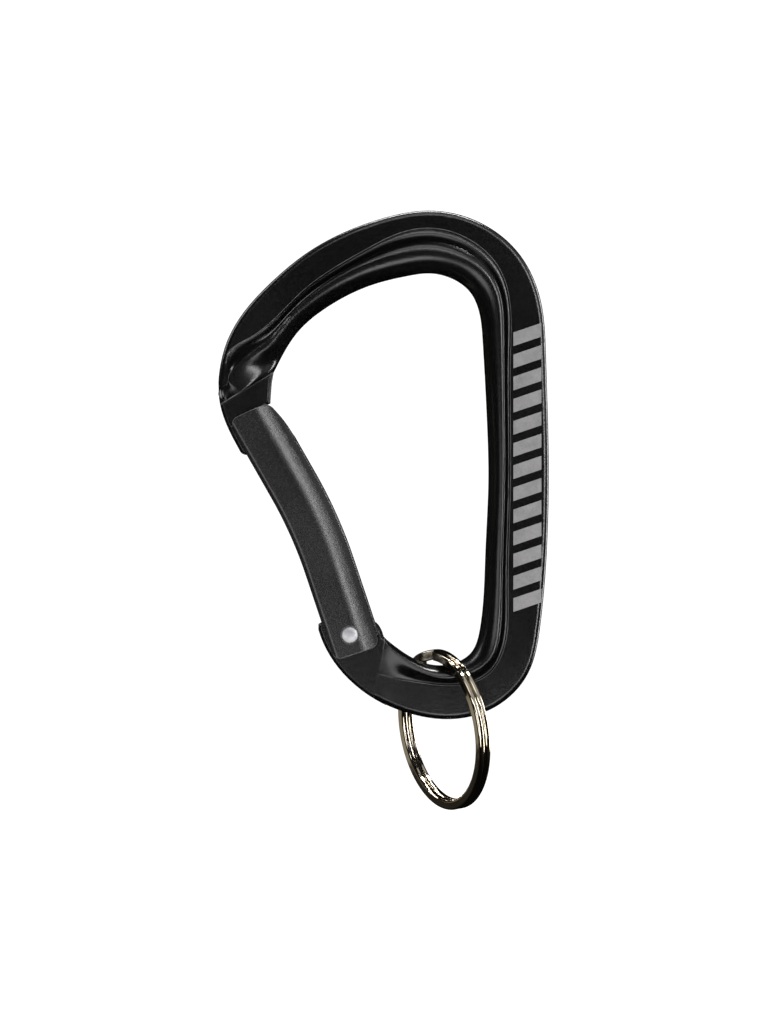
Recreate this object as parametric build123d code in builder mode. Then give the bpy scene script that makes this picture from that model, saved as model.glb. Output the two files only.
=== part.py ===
"""Carabiner keyring: forged body, sprung gate and split ring, in millimetres.

The origin is the highest point of the opening inside the body, on its middle plane.
X runs from the gate to the spine, Z points up and Y runs away from the printed face.
"""
import os
from math import atan2, cos, degrees, radians, sin

from build123d import *

os.makedirs("parts", exist_ok=True)

# ---------------------------------------------------------------- driving sizes
bead_half = 4.0            # half thickness of the rounded inner bead of the body
flange_half = 2.7          # half thickness of the flat outer flange
groove_half = 2.25         # half thickness at the foot of the bead
flange_bevel = 0.8         # rounded outer edge of the flange
flange_fade = 1.2          # overrun of the flange's inner edge that levels its step
pad_half = 2.0             # half thickness of the nose and of the hinge tongue
pad_bevel = 0.45
station_count = 60         # sections along the body
station_reach = 9.5        # how far outside the inner edge they are evenly spaced
nose_end_angle = 211.5     # directions of the two end sections of the thick bar
hinge_end_angle = 259.6

hinge_x = -13.67           # gate rivet
hinge_z = -56.71
gate_half = 4.0            # half thickness of the gate
gate_width = 8.0
gate_inner_half = 2.2      # half width of the flat along the inner side of the gate
gate_face_end = 0.0        # where the flat faces start to curve towards the inner side
gate_straight = 11.2       # rivet to the start of the bend
gate_shift = 0.4           # middle of the gate bar, to the inner side of the rivet
gate_lean = 18.5           # lean of the lower, straight part of the gate
gate_bend = 11.2           # extra lean after the bend
gate_bend_radius = 71.3
gate_reach = 38.5          # rivet to the rounded top end of the gate
gate_foot = 3.1            # rivet to the lower end of the gate
slot_half = 2.12           # half width of both slots, round the 4 mm pads
gate_slot_floor = 6.2      # rivet to the floor of the lower slot

nose_reach = 32.5          # rivet to the underside of the nose
nose_gap = 0.3             # under the nose
nose_angle = 19.8          # inner face of the nose, from upright about the rivet
nose_shoulder = 38.35      # rivet to the shoulder over the end of the gate
nose_shoulder_angle = 19.0
key_low = 34.6             # hooked neck of the nose, between two radii
key_high = 36.2
key_depth = 1.4            # degrees
key_gap = 0.15

rivet_radius = 1.1
rivet_head_radius = 1.3
rivet_head_depth = 0.9
rivet_proud = 0.08
running_gap = 0.04

bore_shift = 1.5           # bore axis, to the inner side of the rivet
bore_radius = 1.3
bore_end = 20.5            # rivet to the closed end of the bore, along the bore
cam_height = 2.2           # rivet to the flat on the tongue that the plunger rides on
plunger_tip_radius = 1.2
plunger_radius = 1.25
plunger_length = 6.5
plunger_stem_radius = 0.62
plunger_stem_length = 1.6
spring_wire = 0.34
spring_radius = 1.0
spring_turns = 9

ring_outer = 12.7
ring_wire_width = 1.6
ring_wire_thick = 1.0
ring_wire_round = 0.36
ring_turn_gap = 0.06
ring_step = 26.0           # degrees of wire that cross from one turn to the other
ring_split = 1.5           # degrees left open beside the crossing
ring_centre = (1.1, 0.95, -71.62)
ring_normal = (0.862, 0.486, 0.145)
ring_step_angle = 158.0    # where the crossing sits, from the lowest point of the ring

# ---------------------------------------------------------------- outlines of the body
inner_edge = [
    (-25.6, -15.5), (-24.3, -12.95), (-21.85, -9.2), (-17.43, -5.42),
    (-9.73, -1.65), (-4.71, -0.42), (-1.0, 0.0), (2.2, -0.75), (5.2, -2.95), (6.75, -6.7),
    (7.15, -10.4), (7.85, -23.5), (8.05, -33.0), (7.6, -43.5), (6.75, -55.65),
    (5.42, -59.42), (0.2, -61.5), (-5.34, -59.42), (-8.2, -57.2),
]
flange_edge = [
    (-37.5, -15.2), (-32.9, -12.1), (-27.8, -9.15), (-21.19, -2.91), (-11.17, 3.7), (-4.81, 6.59),
    (-0.5, 7.0), (4.7, 5.45), (9.65, 0.89), (11.35, -4.2), (11.5, -12.0), (11.5, -32.0),
    (11.1, -50.8), (10.58, -58.39), (8.01, -62.9), (3.0, -64.6), (-2.67, -64.2),
    (-9.25, -62.9), (-14.5, -60.5),
]
crest_edge = [
    (-33.5, -17.5), (-31.45, -14.58), (-27.46, -11.72), (-23.19, -6.92), (-19.18, -3.31), (-10.17, 1.69),
    (-4.8, 3.15), (-1.2, 3.4), (2.8, 2.55), (6.5, 0.6), (9.1, -3.0), (9.9, -8.5), (10.15, -20.0),
    (10.2, -33.0), (9.8, -48.0), (9.4, -56.0), (8.2, -60.2), (4.3, -62.8), (0.6, -63.3),
    (-4.15, -61.36), (-7.3, -58.75), (-9.8, -54.5),
]
outer_edge = [
    (-30.14, -28.49), (-31.71, -26.77), (-33.75, -21.74), (-34.25, -17.5), (-32.26, -9.18),
    (-26.3, -1.65), (-20.17, 3.38), (-9.34, 8.4), (-0.5, 9.82), (5.81, 8.4), (12.64, 3.38),
    (16.25, -4.16), (17.1, -13.0), (17.5, -27.0), (17.35, -41.0), (16.2, -55.3),
    (14.05, -63.19), (8.79, -68.21), (2.04, -69.94), (-4.24, -69.07), (-11.46, -65.7),
    (-16.0, -61.3), (-18.62, -55.93),
]


def upright(points):
    """Points of the middle plane as points in space."""
    return [(x, 0, z) for x, z in points]


def about_hinge(radius, angle):
    """A point of the middle plane, by its distance and lean about the rivet."""
    return (hinge_x - radius * sin(radians(angle)), hinge_z + radius * cos(radians(angle)))


def gate_point(across, along):
    """A point of the middle plane, across and along the lower part of the gate."""
    lean = radians(gate_lean)
    x = hinge_x + across * cos(lean) - along * sin(lean)
    z = hinge_z + across * sin(lean) + along * cos(lean)
    return (x, z)


def ease(value):
    """Smooth change from 0 to 1."""
    clipped = min(max(value, 0.0), 1.0)
    return clipped * clipped * (3 - 2 * clipped)


def distance_to(rail, origin, direction):
    """How far the rail lies from the origin, measured along the direction."""

    def offset(place):
        gap = rail.position_at(place) - origin
        return gap.X * direction.Z - gap.Z * direction.X

    nearest = 1000.0
    steps = 150
    for step in range(steps):
        low = step / steps
        high = (step + 1) / steps
        if offset(low) * offset(high) > 0:
            continue
        for _ in range(26):
            middle = (low + high) / 2
            if offset(low) * offset(middle) <= 0:
                high = middle
            else:
                low = middle
        reach = (rail.position_at(low) - origin).dot(direction)
        if 0 < reach < nearest:
            nearest = reach
    return nearest


with BuildLine() as inner_rail:
    Spline(upright(inner_edge))
with BuildLine() as flange_rail:
    Spline(upright(flange_edge))
with BuildLine() as crest_rail:
    Spline(upright(crest_edge))
with BuildLine() as outer_rail:
    Spline(upright(outer_edge))
inner_curve = inner_rail.edges()[0]
flange_curve = flange_rail.edges()[0]
crest_curve = crest_rail.edges()[0]
outer_curve = outer_rail.edges()[0]


def section_direction(place):
    """Direction across the body at a place along the inner edge, as an angle in degrees."""
    forward = inner_curve.tangent_at(place)
    angle = degrees(atan2(forward.X, -forward.Z)) % 360
    nose_share = ease(1 - place / 0.085)
    hinge_share = ease(1 - (1 - place) / 0.1)
    return angle + (nose_end_angle - angle) * nose_share + (hinge_end_angle - angle) * hinge_share


def section_places(count):
    """Places along the inner edge whose sections are evenly spaced near the outer edge."""
    samples = 600
    travelled = [0.0]
    previous = None
    for sample in range(samples + 1):
        place = sample / samples
        angle = radians(section_direction(place))
        reached = inner_curve.position_at(place) + Vector(cos(angle), 0, sin(angle)) * station_reach
        if previous is not None:
            travelled.append(travelled[-1] + (reached - previous).length)
        previous = reached
    places = []
    sample = 0
    for station in range(count):
        wanted = travelled[-1] * station / (count - 1)
        while sample < samples and travelled[sample] < wanted - 0.000001:
            sample += 1
        places.append(sample / samples)
    return places


gate_along = Vector(-sin(radians(gate_lean)), 0, cos(radians(gate_lean)))
gate_across = Vector(cos(radians(gate_lean)), 0, sin(radians(gate_lean)))
hinge_point = Vector(hinge_x, 0, hinge_z)

# ---------------------------------------------------------------- forged body
with BuildPart() as body:
    # nose: a flat pad with a hooked neck that locks in the gate
    with BuildSketch(Plane.XZ):
        with BuildLine():
            Line((-28.2, -15.2), (-27.3, -16.2))
            Line((-27.3, -16.2), (-25.65, -15.52))
            Line((-25.65, -15.52), (-25.95, -17.2))
            Line((-25.95, -17.2), about_hinge(nose_shoulder + 0.05, nose_shoulder_angle))
            Line(
                about_hinge(nose_shoulder + 0.05, nose_shoulder_angle),
                about_hinge(nose_shoulder, nose_angle),
            )
            Line(about_hinge(nose_shoulder, nose_angle), about_hinge(key_high, nose_angle))
            Line(about_hinge(key_high, nose_angle), about_hinge(key_high, nose_angle + key_depth))
            Line(
                about_hinge(key_high, nose_angle + key_depth),
                about_hinge(key_low, nose_angle + key_depth),
            )
            Line(about_hinge(key_low, nose_angle + key_depth), about_hinge(key_low, nose_angle))
            Line(about_hinge(key_low, nose_angle), about_hinge(nose_reach + 0.8, nose_angle))
            ThreePointArc(
                about_hinge(nose_reach + 0.8, nose_angle),
                about_hinge(nose_reach + 0.23, nose_angle + 0.41),
                about_hinge(nose_reach, nose_angle + 1.4),
            )
            ThreePointArc(
                about_hinge(nose_reach, nose_angle + 1.4),
                about_hinge(nose_reach, 25.0),
                about_hinge(nose_reach, 29.6),
            )
            ThreePointArc(about_hinge(nose_reach, 29.6), (-30.45, -28.36), (-31.0, -27.75))
            Spline((-31.0, -27.75), (-32.81, -24.25), (-33.85, -21.4), (-34.25, -17.5))
            Line((-34.25, -17.5), (-32.0, -15.2))
            Line((-32.0, -15.2), (-28.2, -15.2))
        make_face()
    extrude(amount=pad_half, both=True)

    # hinge tongue: a flat pad with a cam flat square to the spring bore
    with BuildSketch(Plane.XZ):
        with BuildLine():
            Line((-7.2, -58.2), (-8.35, -57.0))
            Spline((-8.35, -57.0), (-8.85, -55.65), (-9.67, -54.7), (-10.33, -54.43))
            Line((-10.33, -54.43), gate_point(3.7, cam_height))
            Line(gate_point(3.7, cam_height), gate_point(-1.2, cam_height))
            Line(gate_point(-1.2, cam_height), (-17.9, -54.6))
            Line((-17.9, -54.6), (-18.62, -55.0))
            Line((-18.62, -55.0), (-18.62, -55.93))
            Spline((-18.62, -55.93), (-16.0, -61.2), (-11.46, -65.7), (-8.0, -67.75))
            Line((-8.0, -67.75), (-7.2, -58.2))
        make_face()
    extrude(amount=pad_half, both=True)
    pad_edges = body.edges().group_by(Axis.Y)[0] + body.edges().group_by(Axis.Y)[-1]
    chamfer(pad_edges, pad_bevel)

    # ribbed bar from the nose, over the top, down the spine and round to the hinge
    for place in section_places(station_count):
        nose_end = ease(1 - place / 0.085)
        hinge_end = ease(1 - (1 - place) / 0.1)
        origin = inner_curve.position_at(place)
        angle = radians(section_direction(place))
        outward = Vector(cos(angle), 0, sin(angle))
        width = distance_to(outer_curve, origin, outward)
        flange_reach = distance_to(flange_curve, origin, outward)
        edge = min(flange_reach, width - flange_bevel - 0.25)
        crest = min(distance_to(crest_curve, origin, outward), edge - 0.9)
        bead = bead_half - 1.45 * hinge_end
        flange = flange_half + 0.9 * nose_end - 0.3 * hinge_end
        foot = groove_half + 1.2 * nose_end + 0.1 * hinge_end
        # the step fades out where the flange has run out to the outer edge
        foot += (flange - 0.005 - foot) * ease((flange_reach - edge) / flange_fade)
        with BuildSketch(Plane(origin=origin, x_dir=outward, z_dir=(outward.Z, 0, -outward.X))):
            with BuildLine():
                EllipticalCenterArc((crest, 0), crest, bead, start_angle=90, arc_size=180)
                for side in (1, -1):
                    Spline(
                        (crest, side * bead),
                        (edge - 0.15, side * foot),
                        tangents=[(1, 0), (1, 0)],
                    )
                    Line((edge - 0.15, side * foot), (edge, side * flange))
                    Line((edge, side * flange), (width - flange_bevel, side * flange))
                    TangentArc(
                        (width - flange_bevel, side * flange),
                        (width, side * (flange - flange_bevel)),
                        tangent=(1, 0),
                    )
                Line((width, flange - flange_bevel), (width, flange_bevel - flange))
            make_face()
    loft()

    # rivet hole
    with BuildSketch(Plane.XZ):
        with Locations((hinge_x, hinge_z)):
            Circle(rivet_radius + running_gap)
    extrude(amount=bead_half + 1, both=True, mode=Mode.SUBTRACT)

body.part.label = "body"
export_step(body.part, "parts/body.step")

# ---------------------------------------------------------------- gate
foot_point = hinge_point + gate_across * gate_shift - gate_along * (gate_foot + 1.5)

with BuildPart() as gate:
    # bent bar, square at the outer side and rounded over towards a narrow inner flat
    with BuildLine(Plane.XZ):
        straight = Line((foot_point.X, foot_point.Z), gate_point(gate_shift, gate_straight))
        bend = JernArc(
            start=straight @ 1,
            tangent=straight % 1,
            radius=gate_bend_radius,
            arc_size=gate_bend,
        )
        Line(bend @ 1, (bend @ 1) + (bend % 1) * 18)
    with BuildSketch(Plane(origin=foot_point, x_dir=gate_across, z_dir=gate_along)):
        half = gate_width / 2
        with BuildLine():
            Line((-half, -gate_half + 0.8), (-half, gate_half - 0.8))
            Line((half, -gate_inner_half), (half, gate_inner_half))
            for side in (1, -1):
                TangentArc(
                    (-half, side * (gate_half - 0.8)),
                    (-half + 0.8, side * gate_half),
                    tangent=(0, side),
                )
                Line((-half + 0.8, side * gate_half), (gate_face_end, side * gate_half))
                Spline(
                    (gate_face_end, side * gate_half),
                    (2.5, side * 3.4),
                    (half, side * gate_inner_half),
                    tangents=[(1, 0), (0.35, -side)],
                )
        make_face()
    sweep()

    # rounded ends
    with BuildSketch(Plane.XZ):
        with BuildLine():
            ThreePointArc(
                about_hinge(gate_reach - 0.9, 29.3),
                about_hinge(gate_reach - 0.25, 28.6),
                about_hinge(gate_reach, 27.4),
            )
            ThreePointArc(
                about_hinge(gate_reach, 27.4),
                about_hinge(gate_reach, 24.0),
                about_hinge(gate_reach, 20.9),
            )
            ThreePointArc(
                about_hinge(gate_reach, 20.9),
                about_hinge(gate_reach - 0.25, 19.6),
                about_hinge(gate_reach - 1.1, 18.6),
            )
            ThreePointArc(about_hinge(gate_reach - 1.1, 18.6), (-24.2, -22.85), (-22.6, -25.2))
            Line((-22.6, -25.2), (-4.0, -45.0))
            Line((-4.0, -45.0), gate_point(5.6, -1.0))
            Line(gate_point(5.6, -1.0), gate_point(3.95, -1.3))
            ThreePointArc(gate_point(3.95, -1.3), gate_point(3.6, -2.6), gate_point(2.4, -gate_foot))
            Line(gate_point(2.4, -gate_foot), gate_point(-2.3, -gate_foot))
            ThreePointArc(
                gate_point(-2.3, -gate_foot),
                gate_point(-3.1, -2.7),
                gate_point(-3.6, -1.6),
            )
            Line(gate_point(-3.6, -1.6), gate_point(-6.0, 1.0))
            Line(gate_point(-6.0, 1.0), (-40.0, -30.0))
            Line((-40.0, -30.0), about_hinge(gate_reach - 0.9, 29.3))
        make_face()
    extrude(amount=gate_half + 1, both=True, mode=Mode.INTERSECT)

    # upper slot, open to the outside, with a ridge that hooks over the nose
    wall = nose_angle - key_gap
    with BuildSketch(Plane.XZ):
        with BuildLine():
            Line(about_hinge(42.0, wall), about_hinge(key_high - key_gap, wall))
            Line(about_hinge(key_high - key_gap, wall), about_hinge(key_high - key_gap, wall + key_depth))
            Line(
                about_hinge(key_high - key_gap, wall + key_depth),
                about_hinge(key_low + key_gap, wall + key_depth),
            )
            Line(about_hinge(key_low + key_gap, wall + key_depth), about_hinge(key_low + key_gap, wall))
            Line(about_hinge(key_low + key_gap, wall), about_hinge(nose_reach - nose_gap, wall))
            ThreePointArc(
                about_hinge(nose_reach - nose_gap, wall),
                about_hinge(nose_reach - nose_gap, 30.0),
                about_hinge(nose_reach - nose_gap, 40.0),
            )
            Line(about_hinge(nose_reach - nose_gap, 40.0), about_hinge(42.0, 40.0))
            Line(about_hinge(42.0, 40.0), about_hinge(42.0, wall))
        make_face()
    extrude(amount=slot_half, both=True, mode=Mode.SUBTRACT)

    # lower slot round the hinge tongue
    with BuildSketch(Plane.XZ):
        with BuildLine():
            Polyline(
                gate_point(-8, -6),
                gate_point(8, -6),
                gate_point(8, 0),
                gate_point(-8, 0),
                close=True,
            )
        make_face()
        with Locations((hinge_x, hinge_z)):
            Circle(gate_slot_floor)
    extrude(amount=slot_half, both=True, mode=Mode.SUBTRACT)

    # spring bore
    bore_start = hinge_point + gate_across * bore_shift + gate_along * cam_height
    with BuildSketch(Plane(origin=bore_start, x_dir=gate_across, z_dir=gate_along)):
        Circle(bore_radius)
    extrude(amount=bore_end - cam_height, mode=Mode.SUBTRACT)

    # rivet hole, countersunk square for the rivet heads
    with BuildSketch(Plane.XZ):
        with Locations((hinge_x, hinge_z)):
            Circle(rivet_radius + 0.01)
    extrude(amount=gate_half + 1, both=True, mode=Mode.SUBTRACT)
    for side in (1, -1):
        head_plane = Plane(
            origin=hinge_point + Vector(0, side * (gate_half - rivet_head_depth), 0),
            z_dir=(0, side, 0),
        )
        with BuildSketch(head_plane):
            Circle(rivet_head_radius + 0.05)
        extrude(amount=3, mode=Mode.SUBTRACT)

gate.part.label = "gate"
export_step(gate.part, "parts/gate.step")

# ---------------------------------------------------------------- gate rivet
with BuildPart() as gate_rivet:
    with BuildSketch(Plane(origin=hinge_point, x_dir=(1, 0, 0), z_dir=(0, 0, 1))):
        with BuildLine():
            top = gate_half + rivet_proud
            shoulder = gate_half - rivet_head_depth + 0.02
            Line((0, -top), (0, top))
            for side in (1, -1):
                ThreePointArc(
                    (0, side * top),
                    (rivet_head_radius * 0.55, side * (top - 0.04)),
                    (rivet_head_radius - 0.12, side * (top - 0.16)),
                )
                Line(
                    (rivet_head_radius - 0.12, side * (top - 0.16)),
                    (rivet_head_radius, side * (top - 0.3)),
                )
                Line((rivet_head_radius, side * (top - 0.3)), (rivet_head_radius, side * shoulder))
                Line((rivet_head_radius, side * shoulder), (rivet_radius, side * shoulder))
            Line((rivet_radius, shoulder), (rivet_radius, -shoulder))
        make_face()
    revolve(axis=Axis((hinge_x, 0, hinge_z), (0, 1, 0)))

gate_rivet.part.label = "gate_rivet"
export_step(gate_rivet.part, "parts/gate_rivet.step")

# ---------------------------------------------------------------- spring plunger
tip_along = cam_height + plunger_tip_radius + 0.02
tip_point = hinge_point + gate_across * bore_shift + gate_along * tip_along
plunger_back = plunger_length - plunger_stem_length

with BuildPart() as spring_plunger:
    with BuildSketch(Plane(origin=tip_point, x_dir=gate_across, z_dir=(0, -1, 0))):
        with BuildLine():
            EllipticalCenterArc(
                (0, 0),
                plunger_tip_radius,
                plunger_tip_radius,
                start_angle=-90,
                arc_size=90,
            )
            Line((plunger_tip_radius, 0), (plunger_radius, 0.3))
            Line((plunger_radius, 0.3), (plunger_radius, plunger_back))
            Line((plunger_radius, plunger_back), (plunger_stem_radius, plunger_back))
            Line((plunger_stem_radius, plunger_back), (plunger_stem_radius, plunger_length - 0.2))
            Line((plunger_stem_radius, plunger_length - 0.2), (plunger_stem_radius - 0.2, plunger_length))
            Line((plunger_stem_radius - 0.2, plunger_length), (0, plunger_length))
            Line((0, plunger_length), (0, -plunger_tip_radius))
        make_face()
    revolve(axis=Axis(tip_point, gate_along))

spring_plunger.part.label = "spring_plunger"
export_step(spring_plunger.part, "parts/spring_plunger.step")

# ---------------------------------------------------------------- gate spring
spring_low = tip_along + plunger_back + spring_wire / 2 + 0.03
spring_high = bore_end - spring_wire / 2 - 0.03
spring_start = hinge_point + gate_across * bore_shift + gate_along * spring_low
spring_length = spring_high - spring_low

with BuildPart() as gate_spring:
    with BuildLine():
        coil = Helix(
            pitch=spring_length / spring_turns,
            height=spring_length,
            radius=spring_radius,
            center=spring_start,
            direction=gate_along,
        )
    with BuildSketch(Plane(origin=coil @ 0, z_dir=coil % 0)):
        Circle(spring_wire / 2)
    sweep(is_frenet=True)

gate_spring.part.label = "gate_spring"
export_step(gate_spring.part, "parts/gate_spring.step")

# ---------------------------------------------------------------- split ring
ring_mean = ring_outer - ring_wire_width / 2
ring_down = Vector(0, 0, -1) - Vector(*ring_normal) * Vector(0, 0, -1).dot(Vector(*ring_normal))
ring_plane = Plane(origin=ring_centre, x_dir=ring_down, z_dir=ring_normal)
turn_offset = (ring_wire_thick + ring_turn_gap) / 2


def wire_plane(angle, height):
    """Plane across the ring wire, by its angle past the crossing and height along the axis."""
    turn = radians(ring_step_angle + angle)
    spoke = ring_plane.x_dir * cos(turn) + ring_plane.y_dir * sin(turn)
    middle = ring_plane.origin + spoke * ring_mean + ring_plane.z_dir * height
    return Plane(origin=middle, x_dir=spoke, z_dir=ring_plane.z_dir.cross(spoke))


with BuildPart() as split_ring:
    # the wire crosses from one turn to the other
    for step in range(9):
        share = step / 8
        height = turn_offset * (2 * ease(share) - 1)
        with BuildSketch(wire_plane(ring_step * share, height)):
            RectangleRounded(ring_wire_width, ring_wire_thick, ring_wire_round)
    loft()
    # first turn, ending where the crossing starts
    with BuildSketch(wire_plane(0, -turn_offset)):
        RectangleRounded(ring_wire_width, ring_wire_thick, ring_wire_round)
    revolve(
        axis=Axis(ring_plane.origin, ring_plane.z_dir),
        revolution_arc=-(360 - ring_step - ring_split),
    )
    # second turn, starting where the crossing ends
    with BuildSketch(wire_plane(ring_step, turn_offset)):
        RectangleRounded(ring_wire_width, ring_wire_thick, ring_wire_round)
    revolve(
        axis=Axis(ring_plane.origin, ring_plane.z_dir),
        revolution_arc=360 - ring_step - ring_split,
    )

split_ring.part.label = "split_ring"
export_step(split_ring.part, "parts/split_ring.step")
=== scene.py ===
"""Carabiner keyring: finishes, spring, print, stage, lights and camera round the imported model.

Metres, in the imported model's own frame: X from gate to spine, Z up, Y away from the camera.
"""

import math

import bmesh
import bpy
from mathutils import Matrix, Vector


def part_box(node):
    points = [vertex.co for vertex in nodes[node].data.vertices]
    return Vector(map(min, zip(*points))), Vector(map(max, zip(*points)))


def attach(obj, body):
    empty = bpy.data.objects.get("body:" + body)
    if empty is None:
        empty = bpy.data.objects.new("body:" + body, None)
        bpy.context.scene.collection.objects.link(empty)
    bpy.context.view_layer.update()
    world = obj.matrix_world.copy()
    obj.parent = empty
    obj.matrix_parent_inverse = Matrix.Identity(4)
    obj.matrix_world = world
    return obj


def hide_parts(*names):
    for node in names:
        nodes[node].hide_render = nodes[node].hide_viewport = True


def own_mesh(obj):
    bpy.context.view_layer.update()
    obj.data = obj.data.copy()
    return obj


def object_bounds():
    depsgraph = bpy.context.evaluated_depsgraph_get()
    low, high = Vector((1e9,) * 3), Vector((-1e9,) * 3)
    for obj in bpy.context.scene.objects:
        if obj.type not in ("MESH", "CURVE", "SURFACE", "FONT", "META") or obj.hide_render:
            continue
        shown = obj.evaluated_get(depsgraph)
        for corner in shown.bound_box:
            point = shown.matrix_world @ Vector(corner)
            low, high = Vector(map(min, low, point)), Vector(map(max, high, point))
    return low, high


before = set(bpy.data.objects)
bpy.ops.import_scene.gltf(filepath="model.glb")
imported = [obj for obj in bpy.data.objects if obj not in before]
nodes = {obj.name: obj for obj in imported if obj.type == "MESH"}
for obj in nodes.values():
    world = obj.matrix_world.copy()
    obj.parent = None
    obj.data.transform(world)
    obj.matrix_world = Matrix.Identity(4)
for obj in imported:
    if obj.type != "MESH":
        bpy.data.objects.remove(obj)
cad_low, cad_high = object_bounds()
centre = (cad_low + cad_high) / 2
MM = 0.001


# ---------------------------------------------------------------- node helpers
def new_material(name):
    """An empty node material with a Principled shader and its output."""
    material = bpy.data.materials.new(name)
    material.use_nodes = True
    tree = material.node_tree
    tree.nodes.clear()
    shader = tree.nodes.new("ShaderNodeBsdfPrincipled")
    output = tree.nodes.new("ShaderNodeOutputMaterial")
    tree.links.new(shader.outputs["BSDF"], output.inputs["Surface"])
    return material, tree, shader


def add_node(tree, kind, inputs=None, **settings):
    """A node with its settings and its unlinked inputs."""
    node = tree.nodes.new(kind)
    for key, value in settings.items():
        setattr(node, key, value)
    for key, value in (inputs or {}).items():
        node.inputs[key].default_value = value
    return node


def position(tree):
    """The surface point in the part's own frame, in metres."""
    return tree.nodes.new("ShaderNodeTexCoord").outputs["Object"]


def noise(tree, scale, detail, roughness=0.5):
    """Noise from 0 to 1 over the surface; scale is in cycles per metre."""
    node = add_node(
        tree,
        "ShaderNodeTexNoise",
        {"Scale": scale, "Detail": detail, "Roughness": roughness},
    )
    tree.links.new(position(tree), node.inputs["Vector"])
    return node.outputs["Fac"]


def remap(tree, value, source, target):
    """value moved from the source range to the target range, held at the ends."""
    low, high = source
    to_low, to_high = target
    node = add_node(
        tree,
        "ShaderNodeMapRange",
        {"From Min": low, "From Max": high, "To Min": to_low, "To Max": to_high},
    )
    tree.links.new(value, node.inputs["Value"])
    return node.outputs["Result"]


def combine(tree, operation, first, second):
    """Math node on two values; either may be a plain number."""
    node = add_node(tree, "ShaderNodeMath", operation=operation)
    for index, value in enumerate((first, second)):
        if isinstance(value, (int, float)):
            node.inputs[index].default_value = value
        else:
            tree.links.new(value, node.inputs[index])
    return node.outputs["Value"]


def weighted(tree, first, second, share):
    """Two values added together, the first by its share and the second by the rest."""
    return combine(
        tree,
        "ADD",
        combine(tree, "MULTIPLY", first, share),
        combine(tree, "MULTIPLY", second, 1.0 - share),
    )


def mix_colours(tree, share, first, second):
    """Colour between two colours; each is an output or three numbers."""
    node = add_node(tree, "ShaderNodeMix", data_type="RGBA")
    tree.links.new(share, node.inputs["Factor"])
    for socket, colour in ((node.inputs[6], first), (node.inputs[7], second)):
        if isinstance(colour, tuple):
            socket.default_value = (*colour, 1.0)
        else:
            tree.links.new(colour, socket)
    return node.outputs[2]


def bump(tree, height, strength, distance, normal=None):
    """Bump from a height between 0 and 1; distance in metres."""
    node = add_node(tree, "ShaderNodeBump", {"Strength": strength, "Distance": distance})
    tree.links.new(height, node.inputs["Height"])
    if normal is not None:
        tree.links.new(normal, node.inputs["Normal"])
    return node.outputs["Normal"]


# ---------------------------------------------------------------- anodised aluminium
EDGE_EASE = 0.22 * MM           # radius that sharp edges seem to have
EDGE_SAMPLES = 8
EDGE_BEGINS = 0.995             # agreement of eased and true normal where the pale edge colour (wear and painted highlight) begins
EDGE_FULL = 0.90                # and where it is complete
EDGE_WEAR_AND_HIGHLIGHT = 0.85                # most that the pale edge colour, wear and painted highlight, hides the anodising
ZONE_FADE = 0.05 * MM
CLOUD_SHARE = 0.35              # slow changes of tone, the rest being grain
RIPPLE_DEPTH = 0.03 * MM        # faint unevenness under the grain


def edge_mask(tree, eased):
    """How far the eased normal has turned from the true one: 0 on a face, up to 1 at an edge."""
    geometry = tree.nodes.new("ShaderNodeNewGeometry")
    agreement = add_node(tree, "ShaderNodeVectorMath", operation="DOT_PRODUCT")
    tree.links.new(geometry.outputs["Normal"], agreement.inputs[0])
    tree.links.new(eased, agreement.inputs[1])
    return remap(tree, agreement.outputs["Value"], (EDGE_BEGINS, EDGE_FULL), (0.0, 1.0))


def height_zone(tree, below, above):
    """1 below one distance from the middle plane and above another, 0 between them."""
    split = tree.nodes.new("ShaderNodeSeparateXYZ")
    tree.links.new(position(tree), split.inputs["Vector"])
    height = combine(tree, "ABSOLUTE", split.outputs["Y"], 0.0)
    return combine(
        tree,
        "MAXIMUM",
        remap(tree, height, (below, below + ZONE_FADE), (1.0, 0.0)),
        remap(tree, height, (above, above + ZONE_FADE), (0.0, 1.0)),
    )


def anodised(name, dark, light, rough, grain_depth, edge_wear_and_highlight_colour, edge_zone):
    """Blasted, anodised aluminium: fine grain, cloudy tone, eased edges, pale edges of wear and
    painted highlight.
    """
    material, tree, shader = new_material(name)
    cloud = noise(tree, scale=90.0, detail=3.0)
    grain = noise(tree, scale=4600.0, detail=2.0, roughness=0.7)
    tone = weighted(tree, cloud, grain, CLOUD_SHARE)
    colour = mix_colours(tree, remap(tree, tone, (0.36, 0.64), (0.0, 1.0)), dark, light)

    bevel = add_node(tree, "ShaderNodeBevel", {"Radius": EDGE_EASE}, samples=EDGE_SAMPLES)
    eased = bevel.outputs["Normal"]
    # worn: share of the pale edge colour on convex edges, partly wear and partly a painted
    # highlight line
    worn = combine(tree, "MULTIPLY", edge_mask(tree, eased), height_zone(tree, *edge_zone))
    edge_patchiness = noise(tree, scale=900.0, detail=4.0, roughness=0.7)
    worn = combine(tree, "MULTIPLY", worn, remap(tree, edge_patchiness, (0.4, 0.62), (0.45, 1.0)))
    worn = combine(tree, "MULTIPLY", worn, EDGE_WEAR_AND_HIGHLIGHT)
    tree.links.new(mix_colours(tree, worn, colour, edge_wear_and_highlight_colour), shader.inputs["Base Color"])

    tree.links.new(remap(tree, tone, (0.3, 0.7), rough), shader.inputs["Roughness"])
    shader.inputs["Metallic"].default_value = 0.0
    shader.inputs["Specular IOR Level"].default_value = 0.5
    fine = bump(tree, grain, strength=1.0, distance=grain_depth, normal=eased)
    ripple = noise(tree, scale=1500.0, detail=2.0)
    uneven = bump(tree, ripple, strength=0.3, distance=RIPPLE_DEPTH, normal=fine)
    tree.links.new(uneven, shader.inputs["Normal"])
    return material
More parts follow.
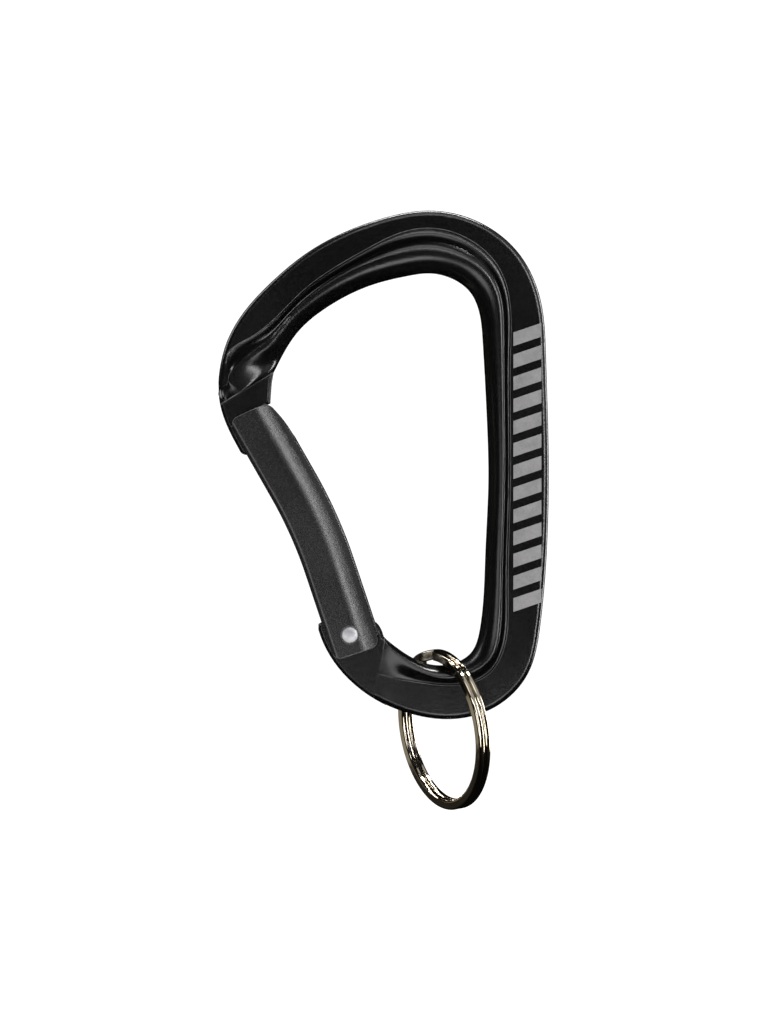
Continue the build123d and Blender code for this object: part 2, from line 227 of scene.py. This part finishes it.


# no pale edge colour (wear and painted highlight) at the height of the nose's and tongue's faces,
# which meet the bar in hollows
body_finish = anodised(
    "body_black_anodised",
    dark=(0.0004, 0.0004, 0.0005),
    light=(0.0018, 0.0018, 0.0020),
    rough=(0.18, 0.27),
    grain_depth=0.012 * MM,
    edge_wear_and_highlight_colour=(0.13, 0.13, 0.133),
    edge_zone=(1.9 * MM, 2.5 * MM),
)
# all of the gate is nearer the middle plane than that, so every edge of it gets the pale edge
# colour of wear and painted highlight
gate_finish = anodised(
    "gate_grey_anodised",
    dark=(0.0036, 0.0031, 0.0033),
    light=(0.0076, 0.0066, 0.0070),
    rough=(0.21, 0.31),
    grain_depth=0.016 * MM,
    edge_wear_and_highlight_colour=(0.11, 0.105, 0.105),
    edge_zone=(4.5 * MM, 4.5 * MM),
)


# ---------------------------------------------------------------- bright metal
def polished_metal(name, colour, stained, rough, grain_scale, grain_depth, metallic=1.0):
    """Bright metal with fine unevenness, faint stains and smears."""
    material, tree, shader = new_material(name)
    stain = noise(tree, scale=260.0, detail=4.0, roughness=0.6)
    stain_share = remap(tree, stain, (0.38, 0.66), (0.0, 1.0))
    tree.links.new(mix_colours(tree, stain_share, colour, stained), shader.inputs["Base Color"])
    shader.inputs["Metallic"].default_value = metallic
    smear = noise(tree, scale=1100.0, detail=3.0)
    tree.links.new(remap(tree, smear, (0.35, 0.7), rough), shader.inputs["Roughness"])
    grain = noise(tree, scale=grain_scale, detail=3.0, roughness=0.6)
    tree.links.new(bump(tree, grain, strength=0.3, distance=grain_depth), shader.inputs["Normal"])
    return material


ring_finish = polished_metal(
    "ring_polished_nickel",
    colour=(0.58, 0.52, 0.43),
    stained=(0.46, 0.40, 0.30),
    rough=(0.05, 0.13),
    grain_scale=900.0,
    grain_depth=0.0025 * MM,
)
rivet_finish = polished_metal(
    "rivet_bright_steel",
    colour=(0.30, 0.30, 0.31),
    stained=(0.17, 0.17, 0.18),
    rough=(0.28, 0.45),
    grain_scale=2600.0,
    grain_depth=0.06 * MM,
    metallic=0.35,
)
spring_finish = polished_metal(
    "spring_drawn_steel",
    colour=(0.50, 0.50, 0.51),
    stained=(0.36, 0.35, 0.34),
    rough=(0.20, 0.36),
    grain_scale=3000.0,
    grain_depth=0.01 * MM,
)

FINISHES = {
    "body": body_finish,
    "gate": gate_finish,
    "gate_rivet": rivet_finish,
    "spring_plunger": spring_finish,
    "gate_spring": spring_finish,
    "split_ring": ring_finish,
}
for node_name, finish in FINISHES.items():
    mesh = nodes[node_name].data
    mesh.materials.clear()
    mesh.materials.append(finish)


def build_spring():
    """The gate spring as a copy of its mesh, carried by the gate arm."""
    coil = bpy.data.objects.new("gate_spring_coil", nodes["gate_spring"].data.copy())
    bpy.context.scene.collection.objects.link(coil)
    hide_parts("gate_spring")
    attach(coil, "gate_arm")
    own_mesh(coil)


build_spring()


# ---------------------------------------------------------------- print on the spine
_, body_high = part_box("body")
FLANGE_THICKNESS = 5.4 * MM     # half of it on each side of the middle plane
PRINT_BELOW_TOP = 17.63 * MM    # from the body's top
PRINT_MARGIN = 1.18 * MM        # from the body's outer edge
PRINT_LENGTH = 45.3 * MM
PRINT_WIDTH = 4.4 * MM
PRINT_SLOPE = 1.5 * MM          # rise of a bar from its near end to its far end
INK_THICKNESS = 0.03 * MM       # above the flange's face, and as much below it
BAR_COUNT = 13
BAR_SHARE = 0.62                # of the step from one bar to the next

print_bottom = body_high.z - PRINT_BELOW_TOP - PRINT_LENGTH
print_far = body_high.x - PRINT_MARGIN
print_near = print_far - PRINT_WIDTH
print_face = -FLANGE_THICKNESS / 2


def slanted_bar(mesh, low, high):
    """A thin slanted plate between two heights, with its four sides."""
    corners = (
        (print_near, low),
        (print_far, low + PRINT_SLOPE),
        (print_far, high + PRINT_SLOPE),
        (print_near, high),
    )
    front = [mesh.verts.new((x, print_face - INK_THICKNESS, z)) for x, z in corners]
    back = [mesh.verts.new((x, print_face + INK_THICKNESS, z)) for x, z in corners]
    mesh.faces.new(front)
    mesh.faces.new(back[::-1])
    for index in range(len(corners)):
        following = (index + 1) % len(corners)
        mesh.faces.new((front[following], front[index], back[index], back[following]))


def build_print():
    """Slanted bars down the spine, in even steps."""
    mesh = bmesh.new()
    pitch = (PRINT_LENGTH - PRINT_SLOPE) / (BAR_COUNT - 1 + BAR_SHARE)
    for bar in range(BAR_COUNT):
        low = print_bottom + bar * pitch
        slanted_bar(mesh, low, low + pitch * BAR_SHARE)
    bmesh.ops.recalc_face_normals(mesh, faces=mesh.faces)
    data = bpy.data.meshes.new("spine_print")
    mesh.to_mesh(data)
    mesh.free()
    piece = bpy.data.objects.new("spine_print", data)
    bpy.context.scene.collection.objects.link(piece)
    return piece


def printed_ink(name, colour, worn):
    """Flat screen-printed ink, slightly mottled and thin in places."""
    material, tree, shader = new_material(name)
    grain = noise(tree, scale=4200.0, detail=3.0, roughness=0.6)
    patch = noise(tree, scale=420.0, detail=3.0, roughness=0.6)
    tone = weighted(tree, grain, patch, 0.5)
    cover = remap(tree, tone, (0.34, 0.62), (0.0, 1.0))
    tree.links.new(mix_colours(tree, cover, worn, colour), shader.inputs["Base Color"])
    tree.links.new(remap(tree, tone, (0.3, 0.7), (0.62, 0.5)), shader.inputs["Roughness"])
    tree.links.new(bump(tree, grain, strength=0.4, distance=0.01 * MM), shader.inputs["Normal"])
    return material


spine_print = build_print()
spine_print.data.materials.append(
    printed_ink("print_grey_ink", colour=(0.122, 0.119, 0.121), worn=(0.082, 0.080, 0.081))
)
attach(spine_print, "frame_body")


# ---------------------------------------------------------------- floor and backdrop
FLOOR_DROP = 0.030              # below the part's lowest point
FLOOR_RADIUS = 4.0
FLOOR_SIDES = 96
FLOOR_MOTTLE = 1.03             # how much paler the floor gets in places


def matte_paint(name, colour):
    """Matte stage paint with a very faint mottle."""
    material, tree, shader = new_material(name)
    mottle = noise(tree, scale=6.0, detail=2.0)
    pale = tuple(min(1.0, channel * FLOOR_MOTTLE) for channel in colour)
    tree.links.new(mix_colours(tree, mottle, colour, pale), shader.inputs["Base Color"])
    shader.inputs["Roughness"].default_value = 1.0
    shader.inputs["Specular IOR Level"].default_value = 0.0
    return material


bpy.ops.mesh.primitive_circle_add(
    vertices=FLOOR_SIDES,
    radius=FLOOR_RADIUS,
    fill_type="NGON",
    location=(0, 0, cad_low.z - FLOOR_DROP),
)
floor = bpy.context.active_object
floor.name = "studio_floor"
floor.data.materials.append(matte_paint("studio_floor_paint", (0.94, 0.94, 0.94)))
floor.visible_glossy = False

BACKDROP = (1.12, 1.12, 1.12)           # for the eye and for diffuse light
DARK_WALL = (0.004, 0.004, 0.004)       # in reflections, all round but for the sides
SIDE_WALL = (0.030, 0.028, 0.024)       # in reflections, to the sides
SIDE_SPREAD = (0.45, 0.78)              # sideways share of a direction, where it fades in
LEVEL_SPREAD = (0.30, 0.70)             # share up or down, where it fades out


def build_world():
    """White for the eye and for diffuse light; in reflections dark, a little paler sideways."""
    world = bpy.data.worlds.new("studio_world")
    world.use_nodes = True
    world.cycles.sampling_method = "NONE"
    tree = world.node_tree
    background = tree.nodes["Background"]
    background.inputs["Strength"].default_value = 1.0
    direction = add_node(tree, "ShaderNodeSeparateXYZ")
    coordinates = tree.nodes.new("ShaderNodeTexCoord")
    tree.links.new(coordinates.outputs["Generated"], direction.inputs["Vector"])
    sideways = combine(tree, "ABSOLUTE", direction.outputs["X"], 0.0)
    level = combine(tree, "ABSOLUTE", direction.outputs["Z"], 0.0)
    side_share = combine(
        tree,
        "MULTIPLY",
        remap(tree, sideways, SIDE_SPREAD, (0.0, 1.0)),
        remap(tree, level, LEVEL_SPREAD, (1.0, 0.0)),
    )
    reflected = mix_colours(tree, side_share, DARK_WALL, SIDE_WALL)
    glossy = tree.nodes.new("ShaderNodeLightPath").outputs["Is Glossy Ray"]
    tree.links.new(mix_colours(tree, glossy, BACKDROP, reflected), background.inputs["Color"])
    return world


bpy.context.scene.world = build_world()


# ---------------------------------------------------------------- lights
WHITE = (1.0, 1.0, 1.0)
WARM = (1.0, 0.94, 0.78)
ring_low, ring_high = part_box("split_ring")
ring_centre = (ring_low + ring_high) / 2


def softbox(name, direction, distance, size, radiance, colour=WHITE, target=centre):
    """A rectangular lamp that faces a point, by default the middle of the part."""
    lamp = bpy.data.lights.new(name, "AREA")
    lamp.shape = "RECTANGLE"
    lamp.size, lamp.size_y = size
    lamp.energy = radiance * math.pi * lamp.size * lamp.size_y
    lamp.color = colour
    holder = bpy.data.objects.new(name, lamp)
    away = Vector(direction).normalized()
    holder.location = target + away * distance
    holder.rotation_mode = "QUATERNION"
    holder.rotation_quaternion = away.to_track_quat("Z", "Y")
    holder.visible_camera = False
    bpy.context.scene.collection.objects.link(holder)


# strips and boxes for the highlights on the gate, the bead and the outer edge
softbox("front_right", (0.48, -0.86, 0.10), distance=0.7, size=(0.09, 0.60), radiance=15.0)
softbox("front_top", (0.05, -0.88, 0.47), distance=0.7, size=(0.40, 0.06), radiance=9.0)
softbox("side_right", (1.0, 0.22, 0.10), distance=0.6, size=(0.16, 0.50), radiance=16.0)
softbox("side_left", (-0.80, 0.15, 0.60), distance=0.6, size=(0.20, 0.40), radiance=6.0)
softbox("overhead", (0.05, 0.22, 1.0), distance=0.6, size=(0.50, 0.06), radiance=60.0)
softbox("top_fill", (0.05, -0.64, 0.77), distance=0.7, size=(0.40, 0.24), radiance=2.6)

# near cards that the flat faces of the gate and of the lower bend mirror
softbox("front_left", (-0.077, -0.186, -0.045), distance=0.206, size=(0.09, 0.09), radiance=3.0)
softbox("front_low", (0.02, -0.133, -0.072), distance=0.151, size=(0.07, 0.05), radiance=4.2)

# cards close to the ring
softbox(
    "ring_left_card",
    (-0.827, 0.545, -0.145),
    distance=0.10,
    size=(0.05, 0.013),
    radiance=0.34,
    colour=WARM,
    target=ring_centre,
)
softbox(
    "ring_right_card",
    (0.62, -0.35, 0.70),
    distance=0.12,
    size=(0.06, 0.12),
    radiance=0.6,
    target=ring_centre,
)


# ---------------------------------------------------------------- camera
VIEW_WIDTH = 0.1206             # across the picture, in the middle plane
VIEW_SHIFT = Vector((0.00006, 0.0, -0.000215))      # from the middle of the part
CAMERA_DISTANCE = 1.4
IMAGE_ASPECT = 1024 / 768
SENSOR_SIDE = 36.0

camera_data = bpy.data.cameras.new("camera")
camera_data.sensor_width = SENSOR_SIDE
camera_data.lens = SENSOR_SIDE * CAMERA_DISTANCE / (VIEW_WIDTH * IMAGE_ASPECT)
camera_data.clip_start, camera_data.clip_end = 0.05, 20.0
camera = bpy.data.objects.new("camera", camera_data)
camera.location = Vector((centre.x, -CAMERA_DISTANCE, centre.z)) + VIEW_SHIFT
camera.rotation_euler = (math.radians(90), 0.0, 0.0)
bpy.context.scene.collection.objects.link(camera)
bpy.context.scene.camera = camera

bpy.context.scene.view_settings.view_transform = "Standard"
